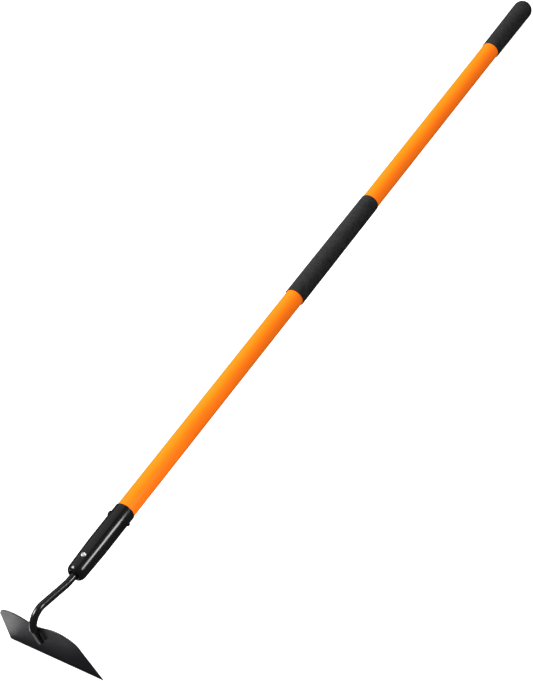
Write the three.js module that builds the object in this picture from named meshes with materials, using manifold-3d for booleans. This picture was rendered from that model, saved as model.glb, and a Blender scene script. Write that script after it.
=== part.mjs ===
// A garden hoe with a gooseneck head: a flat steel blade welded to a bent round bar, whose tang sits
// in a steel ferrule on a two-section tubular handle with a foam sleeve and a domed end grip.
// Millimetres, +Z up. The hoe lies as it is laid down: the cutting edge and the end grip touch z = 0.
//
// Most pieces are made in the hoe's own frame, where x runs along the handle's axis from the ferrule's
// nose (x = 0) towards the end grip, y runs across the blade and z points away from the cutting edge.

import * as THREE from "three";
import { mergeVertices } from "three/addons/utils/BufferGeometryUtils.js";
import Module from "manifold-3d";

const wasm = await Module();
wasm.setup();

const GAP = 0.3; // between pieces that touch
const ROUND = 36; // facets round a turned piece

const BLADE = {
  edgeX: -72.2,
  edgeDrop: 111.4, // cutting edge below the handle's axis
  lean: THREE.MathUtils.degToRad(11.8), // from square to the handle, edge towards the user
  thickness: 1.8,
  halfEdge: 80.5,
  cornerRadius: 3,
  shoulderX: 37.2, // centre of each round shoulder
  shoulderHeight: 89,
  shoulderRadius: 30,
  neckHeight: 107.6, // the dip at the middle of the top edge
  bevelHeight: 5,
  land: 0.8, // width of the flat left on the cutting edge
};

const BAR = {
  radius: 5.6,
  tangEnd: 90,
  riseStart: -14.2, // where the bar's rise leaves the handle's axis
  rise: THREE.MathUtils.degToRad(16.6),
  riseRadius: 70,
  bendRadius: 22,
  footHeight: 73, // the bar's end, above the cutting edge
};

const WELD = {
  foot: 75,
  top: 101,
  leg: 9.2, // out from the bar's middle, along the plate
  throat: 5, // up the bar's side, from the plate
  hollow: 0.4, // how far the bead's face sags in
  inset: 3.2, // start of the bead's underside, out from the bar's middle
};

const FERRULE = {
  length: 131.5,
  radius: 16,
  wall: 0.75,
  taperEnd: 58, // the nose half tapers from here
  noseRadius: 14.6,
  noseLength: 9, // length of the rounded end
  rollRadius: 9.6, // crest of the rolled-in end
  rollDepth: 3.6,
  collarEnd: 6.2, // the rolled end's short collar round the bar
  holeRadius: 6,
};

const TUBE = {
  start: 62,
  joint: 740, // where the two sections meet
  end: 1424,
  radius: 14.95,
  wall: 1.2,
  spigotStart: 670,
};

const CORE = { start: 14.5, end: 130, radius: 13.45 };
const LOWER_RIVET = {
  x: 27.6,
  turn: THREE.MathUtils.degToRad(1), // about the handle's axis, head towards -y
  shank: 2.2,
  head: 3.8,
  dome: 2.2,
  foot: -7.2,
  recess: 1.1,
};

const UPPER_RIVET = {
  x: 115.4,
  turn: THREE.MathUtils.degToRad(15), // about the handle's axis, head upwards
  shank: 2.5,
  head: 4.4,
  dome: 2.6,
  tail: 2.8,
  tailHeight: 2,
};

const JOINT_PIN = { places: [690, 720], radius: 2.5, halfLength: 14.75 };
const MID_GRIP = { start: 619, end: 864, lowerRadius: 16.6, upperRadius: 16, shoulder: 1.5 };
const END_GRIP = { start: 1300, radius: 16.2, domeX: 1425.3, domeRadius: 17, cavityEnd: 1427 };
const PLUG = { start: 1404, flange: 2, flangeRadius: 14.65 };

const finish = {
  orangePaint: { color: 0xff8608, roughness: 0.35, metalness: 0 },
  blackPaint: { color: 0x161617, roughness: 0.28, metalness: 0.1 },
  bladePaint: { color: 0x2c2d31, roughness: 0.45, metalness: 0.3 },
  zincPlate: { color: 0xd6d7d8, roughness: 0.3, metalness: 1 },
  foam: { color: 0x1d1d1e, roughness: 0.9, metalness: 0 },
  blackPlastic: { color: 0x202022, roughness: 0.6, metalness: 0 },
  beech: { color: 0xc59a63, roughness: 0.8, metalness: 0 },
};

function piece(name, geometry, look) {
  const mesh = new THREE.Mesh(geometry, new THREE.MeshStandardMaterial(finish[look]));
  mesh.name = name;
  return mesh;
}

// ---- joining and cutting ----

function solidOf(geometry) {
  const bare = geometry.clone();
  bare.deleteAttribute("normal");
  bare.deleteAttribute("uv");
  const merged = mergeVertices(bare, 1e-4);
  return new wasm.Manifold(
    new wasm.Mesh({
      numProp: 3,
      vertProperties: new Float32Array(merged.attributes.position.array),
      triVerts: new Uint32Array(merged.index.array),
    }),
  );
}

function geometryOf(solid) {
  const mesh = solid.getMesh();
  const geometry = new THREE.BufferGeometry();
  geometry.setAttribute("position", new THREE.BufferAttribute(mesh.vertProperties, 3));
  geometry.setIndex(new THREE.BufferAttribute(mesh.triVerts, 1));
  const faceted = geometry.toNonIndexed();
  faceted.computeVertexNormals();
  return faceted;
}

function drilled(geometry, drills) {
  const cut = drills.reduce((solid, drill) => solid.subtract(solidOf(drill)), solidOf(geometry));
  return geometryOf(cut);
}

// ---- turned shapes ----

// Turns a profile of [radius, x] points about the handle's axis. The profile runs towards +x outside.
function turned(profile, facets = ROUND) {
  const points = profile.map(([radius, x]) => new THREE.Vector2(radius, x));
  return new THREE.LatheGeometry(points, facets).rotateZ(-Math.PI / 2);
}

// A ring's profile closes on itself.
function turnedRing(profile, facets = ROUND) {
  return turned([...profile, profile[0]], facets);
}

// Points of a quarter ellipse from the widest radius to the axis-side radius, outside of a round end.
function roundEnd(x, length, radius, innerRadius, steps) {
  const points = [];
  for (let i = 0; i <= steps; i++) {
    const angle = (i / steps) * (Math.PI / 2);
    points.push([innerRadius + (radius - innerRadius) * Math.cos(angle), x + length * Math.sin(angle)]);
  }
  return points;
}

// A cross drill that comes out of the ferrule on both sides.
function drillAcross(x, radius) {
  const length = 3 * FERRULE.radius;
  return new THREE.CylinderGeometry(radius, radius, length, 24).translate(x, 0, 0);
}

function upperRivetDrill() {
  return drillAcross(UPPER_RIVET.x, UPPER_RIVET.shank + GAP).rotateX(UPPER_RIVET.turn);
}

// The lower rivet's hole, from a depth below the axis out through the ferrule's top.
function lowerRivetDrill(low) {
  const high = FERRULE.radius + 5;
  const radius = LOWER_RIVET.shank + GAP;
  return new THREE.CylinderGeometry(radius, radius, high - low, 24)
    .rotateX(Math.PI / 2)
    .translate(LOWER_RIVET.x, 0, (low + high) / 2)
    .rotateX(LOWER_RIVET.turn);
}

// ---- blade and welds, in the blade's frame: x across, y up from the cutting edge, z outwards ----

function bladeOutline() {
  const { halfEdge, cornerRadius, shoulderX, shoulderHeight, shoulderRadius, neckHeight } = BLADE;
  const side = shoulderX + shoulderRadius;
  const top = shoulderHeight + shoulderRadius;
  const sideSlope = (halfEdge - side) / shoulderHeight;
  const bottom = -0.5;
  const shape = new THREE.Shape();
  shape.moveTo(-halfEdge + cornerRadius, bottom);
  shape.lineTo(halfEdge - cornerRadius, bottom);
  shape.quadraticCurveTo(halfEdge, bottom, halfEdge - cornerRadius * sideSlope, cornerRadius);
  shape.lineTo(side, shoulderHeight);
  shape.absarc(shoulderX, shoulderHeight, shoulderRadius, 0, Math.PI / 2);
  shape.bezierCurveTo(0.58 * shoulderX, top, 0.36 * shoulderX, neckHeight, 0, neckHeight);
  shape.bezierCurveTo(-0.36 * shoulderX, neckHeight, -0.58 * shoulderX, top, -shoulderX, top);
  shape.absarc(-shoulderX, shoulderHeight, shoulderRadius, Math.PI / 2, Math.PI);
  shape.lineTo(-halfEdge + cornerRadius * sideSlope, cornerRadius);
  shape.quadraticCurveTo(-halfEdge, bottom, -halfEdge + cornerRadius, bottom);
  return shape;
}

// The plate's cross-section from edge to top: a level land at the bottom, a bevel on the outer face.
function bladeSection(levelAngle) {
  const { thickness, bevelHeight, land, shoulderHeight, shoulderRadius } = BLADE;
  const above = shoulderHeight + shoulderRadius + 5;
  const shape = new THREE.Shape();
  shape.moveTo(0, 0);
  shape.lineTo(land * Math.tan(levelAngle), land);
  shape.lineTo(bevelHeight, thickness);
  shape.lineTo(above, thickness);
  shape.lineTo(above, 0);
  return shape;
}

function blade(levelAngle) {
  const { thickness, halfEdge } = BLADE;
  const plate = new THREE.ExtrudeGeometry(bladeOutline(), {
    depth: thickness + 2,
    bevelEnabled: false,
    curveSegments: 12,
  }).translate(0, 0, -1);
  const width = 2 * halfEdge + 4;
  const alongWidth = new THREE.Matrix4().makeBasis(
    new THREE.Vector3(0, 1, 0),
    new THREE.Vector3(0, 0, 1),
    new THREE.Vector3(1, 0, 0),
  );
  const section = new THREE.ExtrudeGeometry(bladeSection(levelAngle), { depth: width, bevelEnabled: false })
    .translate(0, 0, -width / 2)
    .applyMatrix4(alongWidth);
  return geometryOf(solidOf(plate).intersect(solidOf(section)));
}

// A fillet weld between the bar's side and the blade's outer face, on the +x side of the bar.
function weldBead() {
  const { foot, top, leg, throat, hollow, inset } = WELD;
  const barHeight = GAP + BAR.radius;
  const clear = BAR.radius + GAP;
  const high = Math.asin((throat - barHeight) / clear);
  const low = -Math.acos(inset / clear);
  const shoulder = clear * Math.cos(high);
  const shape = new THREE.Shape();
  shape.moveTo(inset, GAP);
  shape.lineTo(leg, GAP);
  shape.quadraticCurveTo((leg + shoulder) / 2 - hollow, (GAP + throat) / 2 - hollow, shoulder, throat);
  shape.absarc(0, barHeight, clear, high, low, true);
  const length = top - foot;
  return new THREE.ExtrudeGeometry(shape, { depth: length, bevelEnabled: false, curveSegments: 6 })
    .rotateX(Math.PI / 2)
    .translate(0, top, BLADE.thickness);
}

// ---- gooseneck ----

// A curve in the hoe's own x-z plane, from a flat path.
class SideCurve extends THREE.Curve {
  constructor(path) {
    super();
    this.path = path;
  }

  getPoint(t, target = new THREE.Vector3()) {
    const point = this.path.getPointAt(t);
    return target.set(point.x, 0, point.y);
  }
}

// Adds a straight run up to a corner, and an arc round it towards the next point.
function bendRound(path, corner, next, radius) {
  const inward = corner.clone().sub(path.currentPoint).normalize();
  const outward = next.clone().sub(corner).normalize();
  const turn = Math.atan2(inward.cross(outward), inward.dot(outward));
  const tangent = radius * Math.tan(Math.abs(turn) / 2);
  const start = corner.clone().addScaledVector(inward, -tangent);
  const normal = new THREE.Vector2(-inward.y, inward.x).multiplyScalar(Math.sign(turn));
  const centre = start.clone().addScaledVector(normal, radius);
  const from = Math.atan2(-normal.y, -normal.x);
  path.lineTo(start.x, start.y);
  path.absarc(centre.x, centre.y, radius, from, from + turn, turn < 0);
}

// The bar's centre line: tang, rise, bend, and foot on the blade's outer face.
function gooseneckPath() {
  const up = new THREE.Vector2(-Math.sin(BLADE.lean), Math.cos(BLADE.lean));
  const out = new THREE.Vector2(-Math.cos(BLADE.lean), -Math.sin(BLADE.lean));
  const offset = BLADE.thickness + GAP + BAR.radius;
  const line = new THREE.Vector2(BLADE.edgeX, -BLADE.edgeDrop).addScaledVector(out, offset);
  const foot = line.clone().addScaledVector(up, BAR.footHeight);
  const rise = new THREE.Vector2(-Math.cos(BAR.rise), Math.sin(BAR.rise));
  const riseStart = new THREE.Vector2(BAR.riseStart, 0);
  const along = line.clone().sub(riseStart).cross(up) / rise.cross(up);
  const crown = riseStart.clone().addScaledVector(rise, along);
  const path = new THREE.Path();
  path.moveTo(BAR.tangEnd, 0);
  bendRound(path, riseStart, crown, BAR.riseRadius);
  bendRound(path, crown, foot, BAR.bendRadius);
  path.lineTo(foot.x, foot.y);
  return path;
}

function gooseneck() {
  const section = new THREE.Shape();
  section.absarc(0, 0, BAR.radius, 0, 2 * Math.PI);
  const bar = new THREE.ExtrudeGeometry(section, {
    steps: 60,
    curveSegments: 8,
    extrudePath: new SideCurve(gooseneckPath()),
  });
  return drilled(bar, [lowerRivetDrill(-2 * BAR.radius)]);
}

// ---- ferrule and its fasteners ----

// The ferrule's outer radius along its nose half, from the crest of the rolled end.
function ferruleRadius(x) {
  const { radius, noseRadius, noseLength, rollRadius, taperEnd } = FERRULE;
  if (x < noseLength) {
    const back = (noseLength - x) / noseLength;
    return rollRadius + (noseRadius - rollRadius) * Math.sqrt(1 - back * back);
  }
  const along = Math.min(1, (x - noseLength) / (taperEnd - noseLength));
  return noseRadius + (radius - noseRadius) * along;
}

// A drawn tube whose nose is rounded, rolled in and turned back as a short collar on the bar.
function ferrule() {
  const { length, radius, wall, noseLength, taperEnd } = FERRULE;
  const { rollRadius, rollDepth, collarEnd, holeRadius } = FERRULE;
  const bore = radius - wall;
  const collar = holeRadius + wall;
  const stations = [0.3, 1.2, 2.4, 4, 6.2, noseLength, taperEnd];
  const outside = stations.map((x) => [ferruleRadius(x), x]);
  const inside = stations.filter((x) => x > wall).map((x) => [ferruleRadius(x) - wall, x]);
  const rolled = roundEnd(rollDepth, -rollDepth, holeRadius, rollRadius, 5);
  const back = roundEnd(rollDepth, wall - rollDepth, collar, rollRadius, 4);
  const profile = [
    [holeRadius, collarEnd],
    ...rolled,
    ...outside,
    [radius, length - 1],
    [radius - 0.2, length - 0.3],
    [radius - 0.5, length],
    [bore, length],
    ...inside.reverse(),
    ...back.reverse(),
    [collar, collarEnd],
  ];
  return drilled(turnedRing(profile, 48), [lowerRivetDrill(BAR.radius), upperRivetDrill()]);
}

// A rivet with its shank along +x and the underside of its domed head at x = 0.
function rivet(shank, foot, head, dome, recess) {
  const rim = 0.5;
  const profile = [
    [0, foot],
    [shank, foot],
    [shank, 0],
    [head, 0],
    ...roundEnd(rim, dome - rim, head, recess, 6),
    [recess, dome - 1],
    [0, dome - 1],
  ];
  return turned(profile, 24);
}

function lowerRivet() {
  const seat = ferruleRadius(LOWER_RIVET.x) + GAP;
  const { x, turn, shank, foot, head, dome, recess } = LOWER_RIVET;
  return rivet(shank, foot - seat, head, dome, recess)
    .rotateY(-Math.PI / 2)
    .translate(x, 0, seat)
    .rotateX(turn);
}

function upperRivet() {
  const { x, turn, shank, head, dome, tail, tailHeight } = UPPER_RIVET;
  const seat = FERRULE.radius + GAP;
  const chamfer = 0.6;
  const profile = [
    [0, -seat - tailHeight],
    [tail - chamfer, -seat - tailHeight],
    [tail, -seat - tailHeight + chamfer],
    [tail, -seat],
    [shank, -seat],
    [shank, seat],
    [head, seat],
    ...roundEnd(seat + 0.4, dome - 0.4, head, 0, 6),
  ];
  return turned(profile, 24)
    .rotateZ(Math.PI / 2)
    .translate(x, 0, 0)
    .rotateX(turn);
}

// A turned core in the tube's end, with a blind bore for the bar's tang.
function tangCore() {
  const boreEnd = BAR.tangEnd + 2;
  const bore = BAR.radius + GAP;
  const body = turned([
    [0, boreEnd],
    [bore, boreEnd],
    [bore, CORE.start],
    [CORE.radius - 1, CORE.start],
    [CORE.radius, CORE.start + 1],
    [CORE.radius, CORE.end],
    [0, CORE.end],
  ]);
  return drilled(body, [lowerRivetDrill(LOWER_RIVET.foot - GAP), upperRivetDrill()]);
}

// ---- handle ----

function jointPinDrills() {
  return JOINT_PIN.places.map((x) => drillAcross(x, JOINT_PIN.radius + GAP));
}

function lowerTube() {
  const { start, joint, radius, wall } = TUBE;
  const body = turnedRing([
    [radius, start],
    [radius, joint],
    [radius - wall, joint],
    [radius - wall, start],
  ]);
  return drilled(body, [upperRivetDrill(), ...jointPinDrills()]);
}

// The upper section's end is necked down to plug into the lower one.
function upperTube() {
  const { joint, end, radius, wall, spigotStart } = TUBE;
  const spigot = radius - wall - GAP;
  const neck = joint + GAP;
  const full = joint + 2;
  const body = turnedRing([
    [spigot, spigotStart],
    [spigot, neck],
    [radius, full],
    [radius, end],
    [radius - wall, end],
    [radius - wall, full + wall],
    [spigot - wall, neck + wall],
    [spigot - wall, spigotStart],
  ]);
  return drilled(body, jointPinDrills());
}

function jointPin(x) {
  const { radius, halfLength } = JOINT_PIN;
  return new THREE.CylinderGeometry(radius, radius, 2 * halfLength, 24).translate(x, 0, 0);
}

function midGrip() {
  const { start, end, lowerRadius, upperRadius, shoulder } = MID_GRIP;
  const bore = TUBE.radius + GAP;
  const outerEnd = roundEnd(end - shoulder, shoulder, upperRadius, bore + 0.2, 4);
  return turnedRing([
    [lowerRadius - 0.3, start],
    [lowerRadius, start + 0.3],
    ...outerEnd,
    [bore, end],
    [bore, start],
  ]);
}

function endGrip() {
  const { start, radius, domeX, domeRadius, cavityEnd } = END_GRIP;
  const bore = TUBE.radius + GAP;
  return turned([
    [0, cavityEnd],
    [bore, cavityEnd],
    [bore, start],
    [radius - 0.3, start],
    [radius, start + 0.3],
    ...roundEnd(domeX, domeRadius, domeRadius, 0, 12),
  ]);
}

function tubePlug() {
  const { start, flange, flangeRadius } = PLUG;
  const stem = TUBE.radius - TUBE.wall - GAP;
  const seat = TUBE.end + GAP;
  return turned([
    [0, start],
    [stem - 1, start],
    [stem, start + 2],
    [stem, seat],
    [flangeRadius, seat],
    [flangeRadius, seat + flange],
    [0, seat + flange],
  ]);
}

// ---- assembly ----

// The tilt that puts the cutting edge and the end grip's dome on one level.
function restTilt() {
  const length = END_GRIP.domeX - BLADE.edgeX;
  const drop = BLADE.edgeDrop;
  return Math.atan2(drop, length) - Math.asin(END_GRIP.domeRadius / Math.hypot(length, drop));
}

// The group that holds the blade and its welds: x across, y up the blade, z outwards.
function bladeFrame() {
  const { lean, edgeX, edgeDrop } = BLADE;
  const frame = new THREE.Group();
  const basis = new THREE.Matrix4().makeBasis(
    new THREE.Vector3(0, -1, 0),
    new THREE.Vector3(-Math.sin(lean), 0, Math.cos(lean)),
    new THREE.Vector3(-Math.cos(lean), 0, -Math.sin(lean)),
  );
  frame.quaternion.setFromRotationMatrix(basis);
  frame.position.set(edgeX, 0, -edgeDrop);
  return frame;
}

function head(tilt) {
  const welded = bladeFrame();
  const right = piece("weld_bead_right", weldBead(), "blackPaint");
  const left = piece("weld_bead_left", weldBead(), "blackPaint");
  left.scale.x = -1;
  welded.add(piece("blade", blade(BLADE.lean - tilt), "bladePaint"), right, left);
  return [welded, piece("gooseneck", gooseneck(), "blackPaint")];
}

function handle() {
  return [
    piece("ferrule", ferrule(), "blackPaint"),
    piece("tang_core", tangCore(), "beech"),
    piece("lower_rivet", lowerRivet(), "zincPlate"),
    piece("upper_rivet", upperRivet(), "blackPaint"),
    piece("lower_tube", lowerTube(), "orangePaint"),
    piece("upper_tube", upperTube(), "orangePaint"),
    ...JOINT_PIN.places.map((x, i) => piece(`joint_pin_${i + 1}`, jointPin(x), "zincPlate")),
    piece("mid_grip", midGrip(), "foam"),
    piece("end_grip", endGrip(), "foam"),
    piece("tube_plug", tubePlug(), "blackPlastic"),
  ];
}

function hoe() {
  const tilt = restTilt();
  const tool = new THREE.Group();
  tool.add(...head(tilt), ...handle());
  tool.rotation.y = tilt;
  const part = new THREE.Group();
  part.add(tool);
  part.updateMatrixWorld(true);
  const box = new THREE.Box3().setFromObject(part, true);
  const middle = box.getCenter(new THREE.Vector3());
  tool.position.set(-middle.x, 0, -box.min.z);
  return part;
}

export default hoe();
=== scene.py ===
import math

import bmesh
import bpy
from mathutils import Matrix, Vector, noise


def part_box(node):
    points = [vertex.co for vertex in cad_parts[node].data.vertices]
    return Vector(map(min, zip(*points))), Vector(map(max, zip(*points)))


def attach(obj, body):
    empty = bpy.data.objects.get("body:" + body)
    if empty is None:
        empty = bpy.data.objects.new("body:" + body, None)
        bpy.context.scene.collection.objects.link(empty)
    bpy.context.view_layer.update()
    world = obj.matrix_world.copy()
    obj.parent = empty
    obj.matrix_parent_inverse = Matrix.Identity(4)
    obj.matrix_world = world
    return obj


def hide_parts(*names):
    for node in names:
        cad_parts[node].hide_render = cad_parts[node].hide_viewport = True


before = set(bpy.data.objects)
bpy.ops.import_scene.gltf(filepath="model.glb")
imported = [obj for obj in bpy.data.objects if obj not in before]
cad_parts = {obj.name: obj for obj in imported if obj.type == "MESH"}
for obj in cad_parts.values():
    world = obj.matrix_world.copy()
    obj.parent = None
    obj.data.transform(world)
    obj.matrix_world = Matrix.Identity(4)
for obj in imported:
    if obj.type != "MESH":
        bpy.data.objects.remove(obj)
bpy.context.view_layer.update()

# ---------------------------------------------------------------- sizes, in millimetres

MM = 0.001
GAP = 0.3  # between neighbouring pieces

LEAN = math.radians(11.8)  # the blade's, from square to the handle, edge towards the user
EDGE = Vector((-72.2, 0, -111.4))  # middle of the cutting edge, on the plate's inner face
PLATE = 1.8
BEVEL_TOP = 5.0  # above the cutting edge
BAR_RADIUS = 5.6
TANG_END = 90.0
WELD_FOOT = 75.0  # above the cutting edge
WELD_TOP = 101.0

FERRULE_LENGTH = 131.5
FERRULE_RADIUS = 16.0
FERRULE_WALL = 0.75
TAPER_END = 58.0  # the nose half tapers from here
NOSE_LENGTH = 9.0
NOSE_RADIUS = 14.6
ROLL_RADIUS = 9.6  # crest of the rolled-in end
ROLL_DEPTH = 3.6
HOLE_RADIUS = 6.0
RIVET_SEAT = 0.05  # between a rivet's head and the ferrule

TUBE_START = 62.0
TUBE_JOINT = 740.0  # where the two sections meet
TUBE_END = 1424.0
TUBE_RADIUS = 14.95
TUBE_WALL = 1.2
SPIGOT_START = 670.0

FOAM_BORE = TUBE_RADIUS + 0.1
FOAM_RIM = 0.5  # rounding of a grip's lower rim
FOAM_STEP = 1.6  # between rings of the foam's mesh

# ---------------------------------------------------------------- the hoe's own frame
# Shapes are made in millimetres in the hoe's own frame: x along the handle's axis from the
# ferrule's nose, y across the blade, z away from the cutting edge. HOE places them in the CAD's.


def middle(name):
    low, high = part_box(name)
    return (low + high) / 2


ALONG = (middle("joint_pin_2") - middle("lower_tube")).normalized()
ACROSS = Vector((0, 1, 0))
UP = ALONG.cross(ACROSS)
NOSE = middle("lower_tube") - ALONG * (TUBE_START + TUBE_JOINT) / 2 * MM
AXES = Matrix((ALONG, ACROSS, UP)).transposed().to_4x4()
HOE = Matrix.Translation(NOSE) @ AXES @ Matrix.Scale(MM, 4)

# ---------------------------------------------------------------- mesh helpers


def link_object(name, data):
    made = bpy.data.objects.new(name, data)
    bpy.context.scene.collection.objects.link(made)
    return made


def add_piece(name, bm, material, nodes, place=HOE, sharp=32):
    """Makes a smooth-shaded piece that stands for CAD nodes and rides on the root."""
    bmesh.ops.recalc_face_normals(bm, faces=bm.faces)
    mesh = bpy.data.meshes.new(name)
    bm.to_mesh(mesh)
    bm.free()
    mesh.transform(place)
    mesh.shade_smooth()
    mesh.set_sharp_from_angle(angle=math.radians(sharp))
    mesh.materials.append(material)
    piece = link_object(name, mesh)
    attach(piece, "root")
    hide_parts(*nodes)
    return piece


def bridge_rings(bm, rings, closed=False):
    """Joins rings of vertices with faces. A ring of one vertex is a pole."""
    pairs = list(zip(rings, rings[1:]))
    if closed:
        pairs.append((rings[-1], rings[0]))
    for a, b in pairs:
        count = max(len(a), len(b))
        for i in range(count):
            j = (i + 1) % count
            if len(a) == 1:
                bm.faces.new((a[0], b[j], b[i]))
            elif len(b) == 1:
                bm.faces.new((a[i], a[j], b[0]))
            else:
                bm.faces.new((a[i], a[j], b[j], b[i]))


def cap_ends(bm, rings):
    bm.faces.new(rings[0])
    bm.faces.new(rings[-1])


def lathe(profile, segments=96, closed=False, shape=None):
    """Turns (radius, x) points about the x axis. shape may move each point in or out."""
    bm = bmesh.new()
    rings = []
    for radius, x in profile:
        if radius < 1e-6:
            rings.append([bm.verts.new((x, 0, 0))])
            continue
        ring = []
        for i in range(segments):
            angle = 2 * math.pi * i / segments
            r = shape(radius, x, angle) if shape else radius
            ring.append(bm.verts.new((x, r * math.sin(angle), r * math.cos(angle))))
        rings.append(ring)
    bridge_rings(bm, rings, closed)
    return bm


def arc(centre_x, centre_r, rx, rr, start, stop, steps):
    """(radius, x) points on an ellipse's arc; angle 0 points along +x and 90 degrees outwards."""
    points = []
    for i in range(steps + 1):
        angle = math.radians(start + (stop - start) * i / steps)
        points.append((centre_r + rr * math.sin(angle), centre_x + rx * math.cos(angle)))
    return points


def spread(start, stop, step):
    """Evenly spaced values between two ends, both left out."""
    count = max(1, round((stop - start) / step))
    return [start + (stop - start) * i / count for i in range(1, count)]


# ---------------------------------------------------------------- materials
# Texture scales are per metre, and bump distances are in metres.


def new_material(name, base, roughness, metallic=0.0, specular=0.5):
    material = bpy.data.materials.new(name)
    material.use_nodes = True
    tree = material.node_tree
    shader = next(n for n in tree.nodes if n.type == "BSDF_PRINCIPLED")
    shader.inputs["Base Color"].default_value = (*base, 1)
    shader.inputs["Roughness"].default_value = roughness
    shader.inputs["Metallic"].default_value = metallic
    shader.inputs["Specular IOR Level"].default_value = specular
    return material, tree, shader


def add_node(tree, kind, **values):
    """Adds a shader node. Each value sets the input of that name, or else the attribute."""
    made = tree.nodes.new(kind)
    for key, value in values.items():
        if key in made.inputs.keys():
            made.inputs[key].default_value = value
        else:
            setattr(made, key, value)
    return made


def coordinates(tree, scale=(1, 1, 1)):
    """Coordinates along the hoe's own axes."""
    where = add_node(tree, "ShaderNodeTexCoord")
    tilt = -math.asin(-ALONG.z)
    turn = add_node(tree, "ShaderNodeMapping", Rotation=(0, tilt, 0), Scale=scale)
    tree.links.new(where.outputs["Object"], turn.inputs["Vector"])
    return turn.outputs["Vector"]


def noise_texture(tree, vector, scale, detail=2.0, roughness=0.5, distortion=0.0):
    texture = add_node(
        tree,
        "ShaderNodeTexNoise",
        Scale=scale,
        Detail=detail,
        Roughness=roughness,
        Distortion=distortion,
    )
    tree.links.new(vector, texture.inputs["Vector"])
    return texture.outputs["Fac"]


def ramp(tree, factor, stops):
    """A colour ramp through (position, colour) stops."""
    made = add_node(tree, "ShaderNodeValToRGB")
    elements = made.color_ramp.elements
    while len(elements) < len(stops):
        elements.new(0.5)
    for element, (position, colour) in zip(elements, stops):
        element.position = position
        element.color = (*colour, 1)
    tree.links.new(factor, made.inputs["Fac"])
    return made.outputs["Color"]


def spread_range(tree, factor, low, high):
    """Stretches the middle of a texture's range over low to high."""
    made = add_node(tree, "ShaderNodeMapRange")
    made.inputs["From Min"].default_value = 0.3
    made.inputs["From Max"].default_value = 0.7
    made.inputs["To Min"].default_value = low
    made.inputs["To Max"].default_value = high
    tree.links.new(factor, made.inputs["Value"])
    return made.outputs["Result"]


def bump(tree, shader, heights):
    """Stacks bumps from (height, strength, distance)."""
    below = None
    for height, strength, distance in heights:
        made = add_node(tree, "ShaderNodeBump", Strength=strength, Distance=distance)
        tree.links.new(height, made.inputs["Height"])
        if below:
            tree.links.new(below, made.inputs["Normal"])
        below = made.outputs["Normal"]
    tree.links.new(below, shader.inputs["Normal"])


def scaled(colour, factor):
    return tuple(c * factor for c in colour)


def surface(tree, shader, tone, roughness, heights):
    """Links a colour, a (texture, low, high) roughness and the bumps to the shader."""
    tree.links.new(tone, shader.inputs["Base Color"])
    tree.links.new(spread_range(tree, *roughness), shader.inputs["Roughness"])
    bump(tree, shader, heights)


def orange_paint():
    """Smooth paint with faint clouds and a little orange peel."""
    base, light = (0.98, 0.171, 0.0008), (1.0, 0.182, 0.0012)
    material, tree, shader = new_material("orange_paint", base, 0.36, specular=0.10)
    where = coordinates(tree)
    cloud = noise_texture(tree, where, 9, 3)
    haze = noise_texture(tree, where, 60, 3)
    peel = noise_texture(tree, where, 420, 2)
    tone = ramp(tree, cloud, [(0.3, scaled(base, 0.95)), (0.7, light)])
    surface(tree, shader, tone, (haze, 0.33, 0.40), [(peel, 0.05, 0.0002)])
    return material


def black_paint(name, base, roughness):
    """Powder coat over steel, its gloss a little uneven."""
    material, tree, shader = new_material(name, base, roughness)
    where = coordinates(tree)
    cloud = noise_texture(tree, where, 30, 3)
    haze = noise_texture(tree, where, 45, 3)
    peel = noise_texture(tree, where, 160, 2)
    tone = ramp(tree, cloud, [(0.3, scaled(base, 0.8)), (0.7, scaled(base, 1.3))])
    gloss = (haze, roughness - 0.02, roughness + 0.03)
    surface(tree, shader, tone, gloss, [(peel, 0.02, 0.0002)])
    return material


def blade_paint():
    """A duller coat than the bar's, with fine grit."""
    base = (0.0112, 0.0105, 0.0150)
    material, tree, shader = new_material("blade_paint", base, 0.5)
    shader.inputs["Specular Tint"].default_value = (0.97, 0.955, 1.0, 1)
    where = coordinates(tree)
    cloud = noise_texture(tree, where, 22, 4)
    haze = noise_texture(tree, where, 140, 3)
    grit = noise_texture(tree, where, 900, 2)
    tone = ramp(tree, cloud, [(0.3, scaled(base, 0.86)), (0.7, scaled(base, 1.12))])
    surface(tree, shader, tone, (haze, 0.46, 0.54), [(grit, 0.12, 0.00015)])
    return material


def grip_foam(name, base):
    """Matt foam: fine specks over faint patches, with the pits of its cells."""
    patch_share = 0.3
    material, tree, shader = new_material(name, base, 0.85, specular=0.3)
    where = coordinates(tree)
    cells = add_node(tree, "ShaderNodeTexVoronoi", Scale=900.0, feature="F1")
    tree.links.new(where, cells.inputs["Vector"])
    patch = noise_texture(tree, where, 70, 4, 0.6)
    speck = noise_texture(tree, where, 480, 2)
    mixed = add_node(tree, "ShaderNodeMath", operation="MULTIPLY_ADD")
    tree.links.new(patch, mixed.inputs[0])
    mixed.inputs[1].default_value = patch_share
    tree.links.new(speck, mixed.inputs[2])
    tone = ramp(tree, mixed.outputs[0], [(0.48, scaled(base, 0.5)), (0.82, scaled(base, 1.5))])
    pits = (cells.outputs["Distance"], 0.45, 0.0004)
    surface(tree, shader, tone, (patch, 0.78, 0.92), [(patch, 0.3, 0.0004), pits])
    return material


def bright_zinc():
    base = (0.76, 0.77, 0.78)
    material, tree, shader = new_material("bright_zinc", base, 0.34, metallic=0.8)
    where = coordinates(tree)
    cloud = noise_texture(tree, where, 500, 3)
    tone = ramp(tree, cloud, [(0.3, scaled(base, 0.85)), (0.7, base)])
    surface(tree, shader, tone, (cloud, 0.30, 0.40), [(cloud, 0.1, 0.0001)])
    return material


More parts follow.
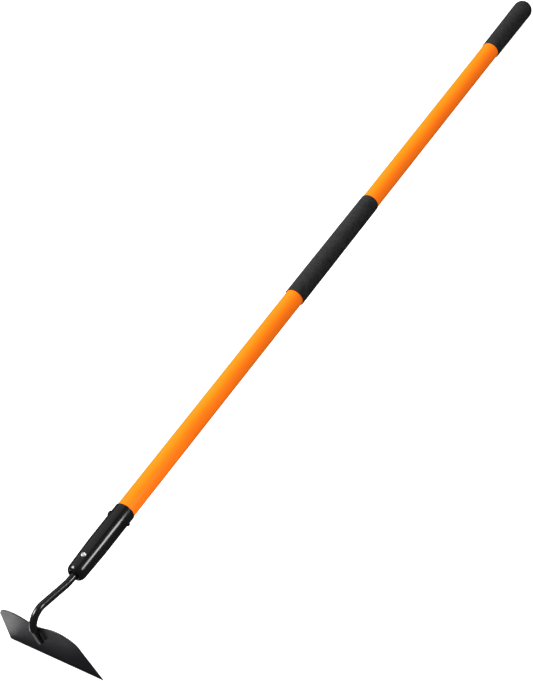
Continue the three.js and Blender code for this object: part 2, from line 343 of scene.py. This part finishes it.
def plug_plastic():
    base = (0.020, 0.020, 0.021)
    material, tree, shader = new_material("plug_plastic", base, 0.55)
    where = coordinates(tree)
    cloud = noise_texture(tree, where, 120, 3)
    grain = noise_texture(tree, where, 1500, 2)
    tone = ramp(tree, cloud, [(0.3, scaled(base, 0.8)), (0.7, scaled(base, 1.3))])
    surface(tree, shader, tone, (cloud, 0.48, 0.62), [(grain, 0.3, 0.0001)])
    return material


def core_wood():
    """Beech, its grain drawn out along the handle."""
    base = (0.56, 0.33, 0.13)
    material, tree, shader = new_material("core_wood", base, 0.7)
    where = coordinates(tree, (0.06, 1, 1))
    rings = noise_texture(tree, where, 260, 4, 0.55, 0.6)
    flecks = noise_texture(tree, where, 1400, 2)
    tone = ramp(tree, rings, [(0.35, scaled(base, 0.72)), (0.5, base), (0.68, scaled(base, 1.2))])
    heights = [(rings, 0.25, 0.0003), (flecks, 0.2, 0.0001)]
    surface(tree, shader, tone, (flecks, 0.62, 0.8), heights)
    return material


ORANGE = orange_paint()
BLACK = black_paint("black_paint", (0.0052, 0.0052, 0.0054), 0.19)
# The welds' coat is rougher than the bar's, a real duller finish. Its base is about three times
# lighter than the bar's black, and that is painted light: it stands in for light in the shade beside
# the bar.
WELD_PAINT_PAINTED_LIGHT = black_paint("weld_paint_painted_light", (0.017, 0.017, 0.0185), 0.42)
BLADE_PAINT = blade_paint()
MID_FOAM = grip_foam("grip_foam_sleeve", (0.0152, 0.0152, 0.0153))
END_FOAM = grip_foam("grip_foam_end", (0.0148, 0.0146, 0.0145))
ZINC = bright_zinc()
PLASTIC = plug_plastic()
WOOD = core_wood()

# ---------------------------------------------------------------- blade and welds


def blade_frame():
    """Places x across, y up from the cutting edge and z outwards, on the hoe's own frame."""
    up = Vector((-math.sin(LEAN), 0, math.cos(LEAN)))
    out = Vector((-math.cos(LEAN), 0, -math.sin(LEAN)))
    place = Matrix((Vector((0, -1, 0)), up, out)).transposed().to_4x4()
    return Matrix.Translation(EDGE) @ place


def bezier(a, b, c, d, steps):
    """Points on a cubic curve, its first end left out."""
    points = []
    for i in range(1, steps + 1):
        t = i / steps
        s = 1 - t
        points.append(a * s**3 + b * 3 * s * s * t + c * 3 * s * t * t + d * t**3)
    return points


def flat(x, y):
    return Vector((x, y, 0))


def blade_outline():
    """The right half from the corner up to the middle of the top edge, then mirrored."""
    half_edge, corner, corner_pull = 80.5, 3.0, 0.66
    shoulder_x, shoulder_y, shoulder_r, neck = 37.2, 89.0, 30.0, 107.6
    slope = (half_edge - shoulder_x - shoulder_r) / shoulder_y
    tip = flat(half_edge, 0)
    start, stop = flat(half_edge - corner, 0), flat(half_edge - corner * slope, corner)
    half = [start]
    half += bezier(start, start.lerp(tip, corner_pull), stop.lerp(tip, corner_pull), stop, 6)
    half += [flat(half_edge - slope * shoulder_y * t, shoulder_y * t) for t in (0.3, 0.6)]
    for radius, height in arc(shoulder_y, shoulder_x, shoulder_r, shoulder_r, 90, 0, 16):
        half.append(flat(radius, height))
    top = shoulder_y + shoulder_r
    crest, dip = flat(shoulder_x, top), flat(0, neck)
    half += bezier(crest, flat(0.58 * shoulder_x, top), flat(0.36 * shoulder_x, neck), dip, 16)
    return half + [flat(-p.x, p.y) for p in reversed(half[:-1])]


def bevelled(y):
    """The plate's thickness y above the cutting edge."""
    edge_thickness = 0.15153
    return min(PLATE, edge_thickness + (PLATE - edge_thickness) * y / BEVEL_TOP)


def blade_plate():
    """The plate's two sides, the bevel on its outer side, and the walls round it."""
    outline = blade_outline()
    bm = bmesh.new()
    inner = [bm.verts.new(p) for p in outline]
    outer = [bm.verts.new((p.x, p.y, bevelled(p.y))) for p in outline]
    bevel, face = [], []
    for i, p in enumerate(outline):
        j = (i + 1) % len(outline)
        q = outline[j]
        (bevel if p.y < BEVEL_TOP else face).append(outer[i])
        wall = [inner[i], inner[j], outer[j], outer[i]]
        if (p.y < BEVEL_TOP) != (q.y < BEVEL_TOP):
            at = p.lerp(q, (BEVEL_TOP - p.y) / (q.y - p.y))
            corner = bm.verts.new((at.x, at.y, PLATE))
            for loop in (bevel, face):
                loop.append(corner)
            wall.insert(3, corner)
        bm.faces.new(wall)
    for loop in (inner, bevel, face):
        bm.faces.new(loop)
    return bm


def make_blade():
    bm = blade_plate()
    place = HOE @ blade_frame()
    piece = add_piece("hoe_blade", bm, BLADE_PAINT, ["blade"], place, 30)
    rounding = piece.modifiers.new("rounding", "BEVEL")
    rounding.width = 0.35 * MM
    rounding.segments = 3
    rounding.limit_method = "ANGLE"
    rounding.angle_limit = math.radians(30)
    rounding.harden_normals = True


def weld_section(side, y, t, end):
    """A bead's section at height y, a share t of the way up. end is 1, or less where it runs out."""
    hug, toe_height, inset = BAR_RADIUS + 0.05, PLATE + 0.1, 3.2
    foot_leg, leg_loss = 9.6, 1.6  # from the bar's middle out to the bead's toe
    full_climb, end_climb = -8 - 14 * t, -50  # degrees round the bar where the bead's face ends
    face_steps, under_steps, under = 10, 3, math.radians(-57)
    ripple_length, ripple_height, wobble_height, crown = 2.2, 0.22, 0.15, 0.25
    outwards = Vector((0.7, 0.7))
    bar_middle = Vector((0, PLATE + GAP + BAR_RADIUS))

    def on_bar(angle):
        return Vector((math.cos(angle), math.sin(angle))) * hug + bar_middle

    leg = BAR_RADIUS + (foot_leg - leg_loss * t - BAR_RADIUS) * end
    climb = math.radians(full_climb) * end + math.radians(end_climb) * (1 - end)
    toe, contact = Vector((leg, toe_height)), on_bar(climb)
    section = []
    for k in range(face_steps + 1):
        u = k / face_steps
        belly = math.sin(math.pi * u)
        phase = (y - WELD_FOOT) / ripple_length + 0.5 * belly
        ripple = ripple_height * abs(math.sin(math.pi * phase)) * min(1.0, 4 * min(u, 1 - u))
        wobble = wobble_height * noise.noise(Vector((y * 0.35, u * 1.5, 3.0 * side)))
        swell = (crown * belly + ripple + wobble * belly) * end
        section.append(toe.lerp(contact, u) + outwards * swell)
    for k in range(1, under_steps + 1):
        section.append(on_bar(climb + (under - climb) * k / under_steps))
    section.append(Vector((inset, toe_height)))
    return section


def weld_bead(side):
    """A rippled fillet between the bar and the plate, on the +x or -x side of the blade's frame."""
    bm = bmesh.new()
    rings = []
    steps = 78
    for i in range(steps + 1):
        t = i / steps
        y = WELD_FOOT + (WELD_TOP - WELD_FOOT) * t
        end = min(1.0, 7.0 * min(t, 1 - t) + 0.08) ** 0.5
        section = weld_section(side, y, t, end)
        rings.append([bm.verts.new((side * p.x, y, p.y)) for p in section])
    bridge_rings(bm, rings)
    cap_ends(bm, rings)
    return bm


def make_welds():
    place = HOE @ blade_frame()
    for side, name in ((1, "weld_bead_right"), (-1, "weld_bead_left")):
        bm = weld_bead(side)
        add_piece(f"{name}_rippled", bm, WELD_PAINT_PAINTED_LIGHT, [name], place, 60)


# ---------------------------------------------------------------- gooseneck


def cross(a, b):
    return a.x * b.y - a.y * b.x


def bend(points, corner, following, radius, steps):
    """Adds an arc round a corner of the flat path, in the x-z plane."""
    inward = (corner - points[-1]).normalized()
    outward = (following - corner).normalized()
    turn = math.atan2(cross(inward, outward), inward.dot(outward))
    tangent = radius * math.tan(abs(turn) / 2)
    start = corner - inward * tangent
    normal = Vector((-inward.y, inward.x)) * math.copysign(1, turn)
    centre = start + normal * radius
    for i in range(steps + 1):
        rotation = Matrix.Rotation(turn * i / steps, 2)
        points.append(centre + rotation @ (start - centre))


def bar_path(tang_start):
    """The bar's centre line: tang, rise, bend, and foot on the blade's outer face."""
    rise_start, rise_angle = Vector((-14.2, 0)), math.radians(16.6)
    rise_radius, crown_radius, foot_height = 70.0, 22.0, 73.0
    up = Vector((-math.sin(LEAN), math.cos(LEAN)))
    out = Vector((-math.cos(LEAN), -math.sin(LEAN)))
    line = Vector((EDGE.x, EDGE.z)) + out * (PLATE + GAP + BAR_RADIUS)
    foot = line + up * foot_height
    rise = Vector((-math.cos(rise_angle), math.sin(rise_angle)))
    crown = rise_start + rise * (cross(line - rise_start, up) / cross(rise, up))
    points = [Vector((x, 0)) for x in (tang_start, 40.0, 10.0)]
    bend(points, rise_start, crown, rise_radius, 10)
    bend(points, crown, foot, crown_radius, 36)
    last = points[-1]
    points += [last.lerp(foot, t) for t in (0.25, 0.5, 0.75)]
    return points, foot, (foot - last).normalized()


def bar_stations():
    """(point, radius) along the bar, from the tang's chamfer to the rounded foot."""
    chamfer, rounding, steps = 0.8, 1.6, 6
    points, foot, down = bar_path(TANG_END - chamfer)
    stations = [(Vector((TANG_END, 0)), BAR_RADIUS - chamfer)]
    stations += [(point, BAR_RADIUS) for point in points]
    for i in range(steps + 1):
        angle = math.pi / 2 * i / steps
        radius = BAR_RADIUS - rounding + rounding * math.cos(angle)
        stations.append((foot - down * (rounding - rounding * math.sin(angle)), radius))
    return stations


def make_gooseneck():
    stations = bar_stations()
    segments = 48
    bm = bmesh.new()
    rings = []
    for i, (point, radius) in enumerate(stations):
        ahead = stations[min(i + 1, len(stations) - 1)][0]
        behind = stations[max(i - 1, 0)][0]
        tangent = (ahead - behind).normalized()
        side = Vector((-tangent.y, tangent.x))
        ring = []
        for k in range(segments):
            angle = 2 * math.pi * k / segments
            at = point + side * (radius * math.cos(angle))
            ring.append(bm.verts.new((at.x, radius * math.sin(angle), at.y)))
        rings.append(ring)
    bridge_rings(bm, rings)
    cap_ends(bm, rings)
    add_piece("gooseneck_bar", bm, BLACK, ["gooseneck"])


# ---------------------------------------------------------------- ferrule and rivets


def ferrule_radius(x):
    """The ferrule's outer radius, from the crest of its rolled-in nose."""
    if x < NOSE_LENGTH:
        back = (NOSE_LENGTH - x) / NOSE_LENGTH
        return ROLL_RADIUS + (NOSE_RADIUS - ROLL_RADIUS) * math.sqrt(1 - back * back)
    along = min(1.0, (x - NOSE_LENGTH) / (TAPER_END - NOSE_LENGTH))
    return NOSE_RADIUS + (FERRULE_RADIUS - NOSE_RADIUS) * along


def make_ferrule():
    wall, collar_end, lip, halfway = FERRULE_WALL, 6.2, 0.6, 90.0
    roll = ROLL_RADIUS - HOLE_RADIUS
    stations = [0.1, 0.3, 0.7, 1.3, 2.1, 3.1, 4.3, 5.7, 7.2, NOSE_LENGTH, 18, 30, 44, TAPER_END]
    profile = [(HOLE_RADIUS, collar_end)]
    profile += arc(ROLL_DEPTH, ROLL_RADIUS, ROLL_DEPTH, -roll, 90, 180, 10)
    profile += [(ferrule_radius(x), x) for x in stations] + [(FERRULE_RADIUS, halfway)]
    profile += arc(FERRULE_LENGTH - lip, FERRULE_RADIUS - lip, lip, lip, 90, 0, 6)
    profile += [(FERRULE_RADIUS - wall, x) for x in (FERRULE_LENGTH - 0.2, halfway)]
    profile += [(ferrule_radius(x) - wall, x) for x in reversed(stations) if x > wall]
    profile += arc(ROLL_DEPTH, ROLL_RADIUS, ROLL_DEPTH - wall, wall - roll, 180, 90, 8)
    profile += [(HOLE_RADIUS + wall, collar_end)]
    bm = lathe(profile, 160, closed=True)
    add_piece("ferrule_shell", bm, BLACK, ["ferrule"], sharp=50)


def turned_about(turn, x, axis_up):
    """Places a lathed fastener at x along the hoe, its axis along z or y, turned about the handle."""
    stand = Matrix.Rotation(math.radians(-90 if axis_up else 90), 4, "Y" if axis_up else "Z")
    return HOE @ Matrix.Rotation(math.radians(turn), 4, "X") @ Matrix.Translation((x, 0, 0)) @ stand


def make_lower_rivet():
    """A blind rivet: a domed ring of a head with the broken-off pin's stub in its cup."""
    x, shank, head_radius, foot = 27.6, 2.2, 3.8, -7.0
    seat = ferrule_radius(x) + RIVET_SEAT
    head = [(0, foot), (shank, foot), (shank, seat), (head_radius, seat)]
    head += arc(seat + 0.35, 2.45, 1.75, 1.35, 90, 20, 9)
    head += [(2.1, seat + 1.95), (1.8, seat + 1.8), (1.72, seat + 1.4), (1.7, seat + 0.5)]
    head += [(1.2, seat + 0.45), (1.15, seat + 0.85), (0.95, seat + 1.0), (0, seat + 1.0)]
    place = turned_about(1, x, True)
    add_piece("lower_rivet_blind", lathe(head, 48), ZINC, ["lower_rivet"], place, 50)


def make_upper_rivet():
    """A through rivet: a set tail on one side of the ferrule and a domed head on the other."""
    x, shank, head_radius, brim, dome = 115.4, 2.5, 4.4, 0.3, 2.3
    seat = FERRULE_RADIUS + RIVET_SEAT
    pin = [(0, -seat - 2.0), (1.9, -seat - 2.0), (2.5, -seat - 1.7)]
    pin += [(2.8, -seat - 1.1), (2.85, -seat - 0.5), (2.8, -seat)]
    pin += [(shank, -seat), (shank, seat), (head_radius, seat)]
    pin += arc(seat + brim, 0, dome, head_radius, 90, 0, 10)
    place = turned_about(15, x, False)
    add_piece("upper_rivet_set", lathe(pin, 48), BLACK, ["upper_rivet"], place, 50)


# ---------------------------------------------------------------- handle


def tube_side(start, stop):
    """Points up the outside of a tube, from start to stop."""
    ring_step = 40
    return [(TUBE_RADIUS, x) for x in [start, *spread(start, stop, ring_step), stop]]


def make_tubes():
    chamfer, flare = 0.3, 2.0
    radius, inside = TUBE_RADIUS, TUBE_RADIUS - TUBE_WALL
    spigot = inside - GAP
    lower = [(radius - chamfer, TUBE_START)]
    lower += tube_side(TUBE_START + chamfer, TUBE_JOINT - chamfer)
    lower += [(radius - chamfer, TUBE_JOINT), (inside, TUBE_JOINT), (inside, TUBE_START)]
    bm = lathe(lower, closed=True)
    add_piece("lower_tube_painted", bm, ORANGE, ["lower_tube"])
    upper = [(spigot, SPIGOT_START), (spigot, TUBE_JOINT + GAP)]
    upper += tube_side(TUBE_JOINT + flare, TUBE_END)
    upper += [(inside, TUBE_END), (inside, TUBE_JOINT + flare + TUBE_WALL)]
    upper += [(spigot - TUBE_WALL, x) for x in (TUBE_JOINT + GAP + TUBE_WALL, SPIGOT_START)]
    bm = lathe(upper, closed=True)
    add_piece("upper_tube_painted", bm, ORANGE, ["upper_tube"])


def foam_skin(radius, x, angle):
    """The foam's slight unevenness, only on the outside."""
    if radius < FOAM_BORE + FOAM_RIM:
        return radius
    moved = radius - 0.10
    for length, waves, height in ((9.0, 1.6, 0.10), (2.2, 6.5, 0.07)):
        at = Vector((x / length, waves * math.cos(angle), waves * math.sin(angle)))
        moved += height * noise.noise(at)
    return moved


def foam_side(start, stop, low, high, last):
    """A grip's rounded lower rim, and its side up to last. The radius goes from low to high."""
    points = arc(start + FOAM_RIM, low - FOAM_RIM, FOAM_RIM, FOAM_RIM, 180, 90, 4)
    for x in spread(start + FOAM_STEP / 2, last, FOAM_STEP):
        points.append((low + (high - low) * (x - start) / (stop - start), x))
    return points


def add_foam(name, profile, material, stands_for, closed=False):
    bm = lathe(profile, 144, closed=closed, shape=foam_skin)
    piece = add_piece(name, bm, material, [stands_for], sharp=70)


def make_mid_grip():
    start, end, low, high = 619.0, 864.0, 16.6, 16.0
    shoulder, lip = 1.4, 0.8
    profile = [(FOAM_BORE, start)]
    profile += foam_side(start, end, low, high, end - FOAM_STEP)
    profile += arc(end - shoulder, high - lip, shoulder, lip, 90, 0, 8)
    profile += [(FOAM_BORE, end)]
    add_foam("mid_grip_foam", profile, MID_FOAM, "mid_grip", closed=True)


def make_end_grip():
    start, low, dome_x, dome_radius, cavity_end = 1300.0, 16.2, 1425.3, 17.0, 1427.0
    profile = [(0, cavity_end), (FOAM_BORE, cavity_end), (FOAM_BORE, start)]
    profile += foam_side(start, dome_x, low, dome_radius, dome_x)
    profile += arc(dome_x, 0, dome_radius, dome_radius, 90, 0, 22)
    add_foam("end_grip_foam", profile, END_FOAM, "end_grip")


def dress_hidden_nodes():
    """Gives the CAD nodes that no piece replaces their materials."""
    for name, material, slot in (
        ("tang_core", WOOD, "core_wood"),
        ("joint_pin_1", ZINC, "bright_zinc"),
        ("joint_pin_2", ZINC, "bright_zinc"),
        ("tube_plug", PLASTIC, "plug_plastic"),
    ):
        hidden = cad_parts[name]
        hidden.data.materials.clear()
        hidden.data.materials.append(material)


make_blade()
make_welds()
make_gooseneck()
make_ferrule()
make_lower_rivet()
make_upper_rivet()
make_tubes()
make_mid_grip()
make_end_grip()
dress_hidden_nodes()

# ---------------------------------------------------------------- floor and light
# The floor and the world are white to the camera, dark to reflections, and otherwise a soft fill.

FLOOR_HALF = 14.0  # metres


def by_ray(tree, socket, camera, glossy, other):
    """Gives a stage surface one strength for the camera, one for reflections and one for the rest."""
    rays = add_node(tree, "ShaderNodeLightPath")
    value = other
    for ray, strength in (("Is Glossy Ray", glossy), ("Is Camera Ray", camera)):
        chosen = add_node(tree, "ShaderNodeMapRange")
        chosen.inputs["To Max"].default_value = strength
        if isinstance(value, float):
            chosen.inputs["To Min"].default_value = value
        else:
            tree.links.new(value, chosen.inputs["To Min"])
        tree.links.new(rays.outputs[ray], chosen.inputs["Value"])
        value = chosen.outputs["Result"]
    tree.links.new(value, socket)


def make_floor():
    bm = bmesh.new()
    bmesh.ops.create_grid(bm, x_segments=1, y_segments=1, size=FLOOR_HALF)
    mesh = bpy.data.meshes.new("floor")
    bm.to_mesh(mesh)
    bm.free()
    floor = link_object("floor", mesh)
    material, tree, shader = new_material("floor_paper", (0.8, 0.8, 0.8), 0.9, specular=0.0)
    shader.inputs["Emission Color"].default_value = (1, 1, 1, 1)
    by_ray(tree, shader.inputs["Emission Strength"], 1.0, 0.0, 0.0)
    by_ray(tree, shader.inputs["Base Color"], 0.35, 0.02, 0.35)
    mesh.materials.append(material)


def make_world():
    world = bpy.data.worlds.new("studio")
    bpy.context.scene.world = world
    world.use_nodes = True
    background = world.node_tree.nodes["Background"]
    background.inputs["Color"].default_value = (1, 1, 1, 1)
    by_ray(world.node_tree, background.inputs["Strength"], 1.0, 0.02, 1.0)
    world.cycles.sampling_method = "NONE"


def facing(direction):
    """The turn that points a lamp along a direction."""
    return direction.to_track_quat("-Z", "Y").to_matrix().to_4x4()


def key_light():
    light = bpy.data.lights.new("key", "SUN")
    light.energy = 4.1
    light.angle = math.radians(30)
    link_object("key", light).matrix_world = facing(Vector((0.178, -0.71, -0.68)))


def softbox(name, position, target, width, height, power, roll=0.0, spread_angle=180.0):
    """A rectangular lamp that the camera doesn't see. Sizes are in metres, power in watts."""
    light = bpy.data.lights.new(name, "AREA")
    light.shape = "RECTANGLE"
    light.size = width
    light.size_y = height
    light.energy = power
    light.spread = math.radians(spread_angle)
    lamp = link_object(name, light)
    turn = facing(Vector(target) - Vector(position))
    lamp.matrix_world = Matrix.Translation(position) @ turn @ Matrix.Rotation(roll, 4, "Z")
    lamp.visible_camera = False


make_floor()
make_world()
key_light()
# The highlight along the ferrule, the one along the bar, the soft light on the left sides, and
# the glow of the floor on the blade's two halves.
softbox("strip", (-0.30, -0.608, 0.473), (-0.80, 0, 0.107), 0.35, 0.20, 0.23, -0.35, 40)
softbox("bar_strip", (0.71, -0.69, 0.47), (-0.70, 0, 0.12), 0.25, 0.25, 0.15, 0.0, 20)
softbox("left_card", (-0.05, 0.60, 0.75), (-0.60, 0, 0.11), 1.1, 1.4, 1.9)
softbox("blade_card_left", (-0.785, 0.140, 0.006), (-0.765, 0.140, 0.09), 0.12, 0.066, 0.060)
softbox("blade_card_right", (-0.80, 0.03, 0.006), (-0.77, 0.03, 0.09), 0.10, 0.05, 0.0105)

# ---------------------------------------------------------------- camera

SENSOR = 36.0  # millimetres, along the picture's longer side
FOCAL = 116.29956  # millimetres
RIGHT = Vector((0.50322536, -0.85582961, -0.11966587))
UPWARD = Vector((0.68760203, 0.31267928, 0.65531299))
VIEW = Vector((0.52341922, 0.41205261, -0.74581832))
AIM = NOSE + ALONG * 0.521  # a point on the handle's axis, near the picture's middle
AIM_RIGHT, AIM_UP, AIM_AHEAD = -0.005878, 0.004596, 3.401994  # AIM as the camera sees it, metres


def make_camera():
    camera = bpy.data.cameras.new("camera")
    camera.sensor_width = SENSOR
    camera.lens = FOCAL
    camera.clip_start = 0.05
    camera.clip_end = 100.0
    holder = link_object("camera", camera)
    position = AIM - (RIGHT * AIM_RIGHT + UPWARD * AIM_UP + VIEW * AIM_AHEAD)
    turn = Matrix((RIGHT, UPWARD, -VIEW)).transposed()
    holder.matrix_world = Matrix.Translation(position) @ turn.to_4x4()
    bpy.context.scene.camera = holder


make_camera()
bpy.context.scene.view_settings.view_transform = "Standard"
